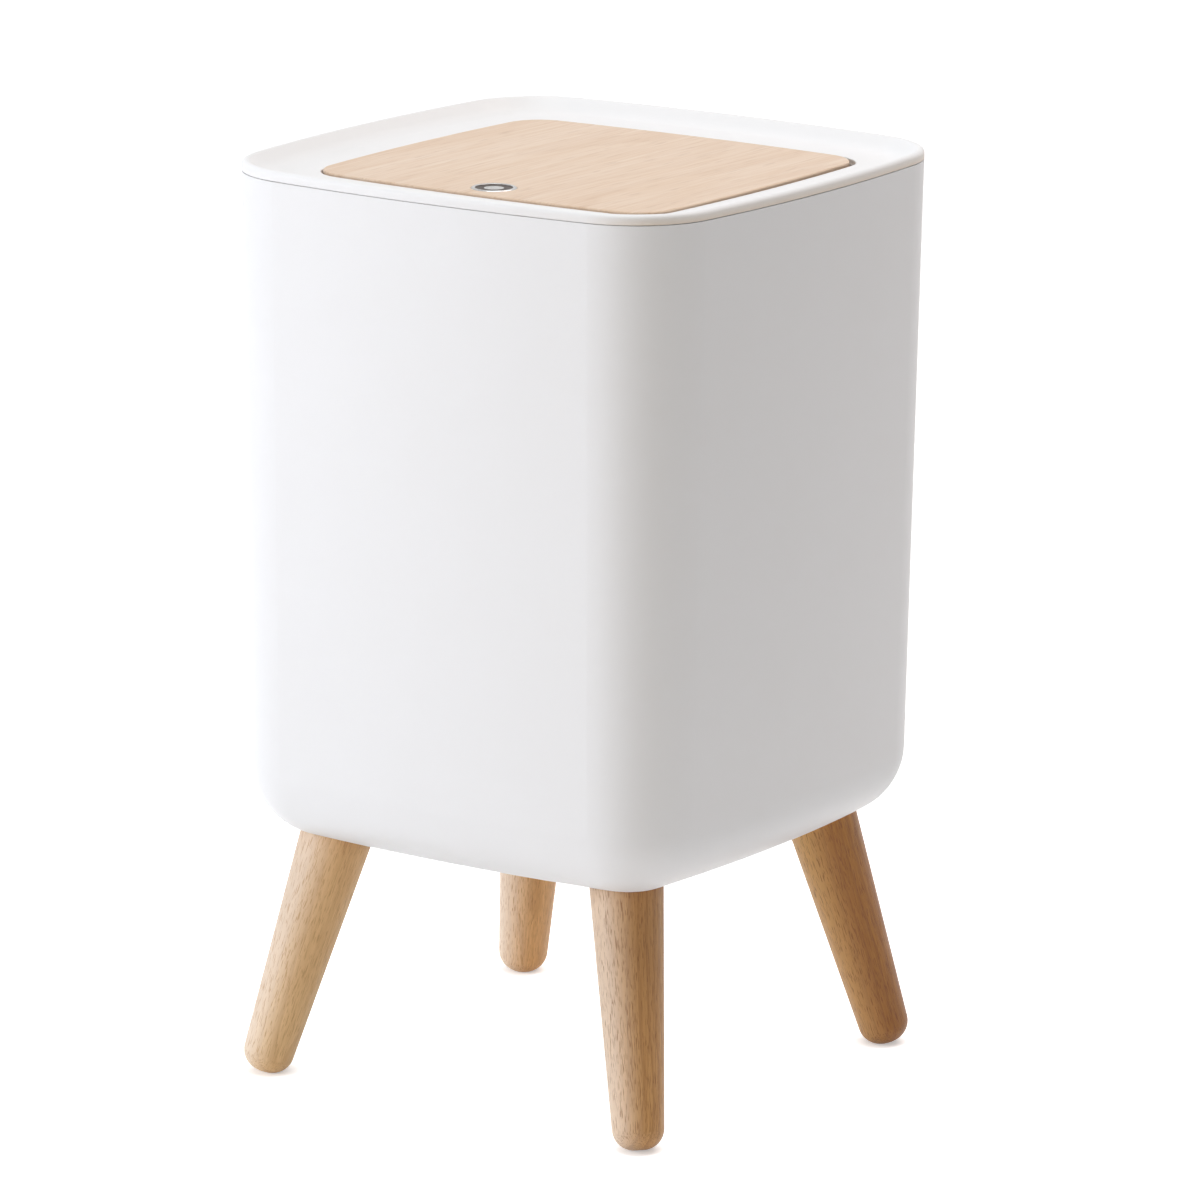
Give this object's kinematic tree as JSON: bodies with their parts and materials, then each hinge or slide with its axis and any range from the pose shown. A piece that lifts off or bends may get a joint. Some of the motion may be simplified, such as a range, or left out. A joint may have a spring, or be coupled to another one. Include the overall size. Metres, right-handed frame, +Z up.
{
  "type": "bathroom trash can",
  "caption": "Square push-to-open bathroom bin: white bucket and lift-off cover, wooden lid hinged in the cover's dish, splayed wooden legs.",
  "frame": {"origin": "on the floor, under the middle of the rim", "axes": "+Z up, -Y to the front edge that is pressed, +X to the right seen from the front"},
  "size_m": [0.245, 0.245, 0.41],
  "materials": {
    "bucket_plastic": "fine satin white polypropylene",
    "cover_plastic": "fine satin white polypropylene",
    "frame_plastic": "moulded white, slightly coarser than the outside",
    "latch_plastic": "grey acetal, matt",
    "plunger_plastic": "pale grey acetal, smooth",
    "damper_plastic": "black, matt",
    "rotor_plastic": "natural acetal, smooth",
    "leg_wood": "light oak, sanded, clear matt lacquer",
    "lid_wood": "pale beech, sanded, clear satin lacquer",
    "zinc_steel": "bright zinc plate",
    "spring_steel": "bare drawn wire",
    "pin_steel": "ground steel",
    "magnet_nickel": "nickel plate",
    "mark_metal": "spun steel disc",
    "insert_brass": "turned brass"
  },
  "bodies": {
    "bucket_body": {"bucket": "bucket_plastic", "leg_front_left": "leg_wood", "leg_front_right": "leg_wood", "leg_back_left": "leg_wood", "leg_back_right": "leg_wood", "leg_studs": "zinc_steel", "leg_inserts": "insert_brass"},
    "cover_body": {"cover_ring": "cover_plastic", "lid_frame": "frame_plastic", "frame_screws": "zinc_steel", "latch_housing": "latch_plastic", "latch_screws": "zinc_steel", "latch_spring": "spring_steel", "damper_body": "damper_plastic", "damper_cap": "damper_plastic"},
    "pin_body": {"hinge_pin": "pin_steel", "pin_clip": "pin_steel"},
    "lid_body": {"lid_board": "lid_wood", "lid_carrier": "frame_plastic", "carrier_screws": "zinc_steel", "press_mark": "mark_metal", "strike_plate": "zinc_steel", "strike_screws": "zinc_steel", "lid_spring": "spring_steel", "damper_rotor": "rotor_plastic"},
    "plunger_body": {"latch_plunger": "plunger_plastic", "latch_magnet": "magnet_nickel"}
  },
  "joints": [
    {"name": "cover_lift", "type": "slide", "parent": "bucket_body", "child": "cover_body", "axis": [0, 0, 1], "range_m": [0, 0.06]},
    {"name": "lid_press", "type": "hinge", "parent": "cover_body", "child": "pin_body", "pos_m": [0, 0.0684, 0.3947], "axis": [-1, 0, 0], "range_deg": [-1, 0], "stiffness_Nm_per_rad": 34, "springref_deg": 0.52},
    {"name": "lid_open", "type": "hinge", "parent": "pin_body", "child": "lid_body", "pos_m": [0, 0.0684, 0.3947], "axis": [-1, 0, 0], "range_deg": [0, 80]},
    {"name": "latch_slide", "type": "slide", "parent": "cover_body", "child": "plunger_body", "axis": [0, 0, 1], "range_m": [-0.0028, 0], "deforming": ["latch_spring"]}
  ],
  "couplings": [
    {"joint": "latch_slide", "follows": "lid_press", "m_per_rad": 0.1414}
  ]
}
